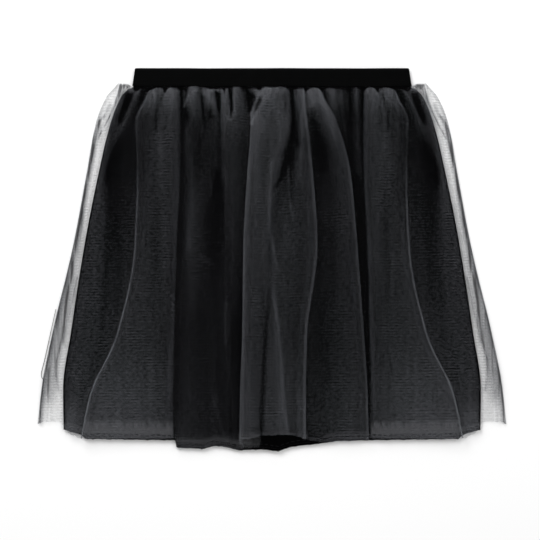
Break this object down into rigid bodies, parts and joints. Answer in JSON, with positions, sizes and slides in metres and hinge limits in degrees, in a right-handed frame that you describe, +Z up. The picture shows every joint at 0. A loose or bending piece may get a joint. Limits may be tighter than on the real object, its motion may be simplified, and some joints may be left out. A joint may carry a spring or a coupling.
{
  "type": "tutu skirt",
  "caption": "Short black net tutu skirt with an elastic waistband and a satin lining, gathered at the waist and laid flat.",
  "frame": {"origin": "centre of the laid skirt's footprint, on the surface it lies on", "axes": "+X across the skirt to the right seen from above, +Y from the hem to the waistband, +Z up from the surface"},
  "size_m": [0.5174, 0.4199, 0.0245],
  "materials": {
    "black_net": "fine see-through net, matt",
    "black_satin": "smooth lining cloth with a low sheen",
    "black_elastic": "finely ribbed woven elastic"
  },
  "bodies": {
    "root": {"net_over_front": "black_net", "net_under_front": "black_net", "lining_front": "black_satin", "lining_back": "black_satin", "net_under_back": "black_net", "net_over_back": "black_net", "waistband": "black_elastic"}
  },
  "joints": []
}
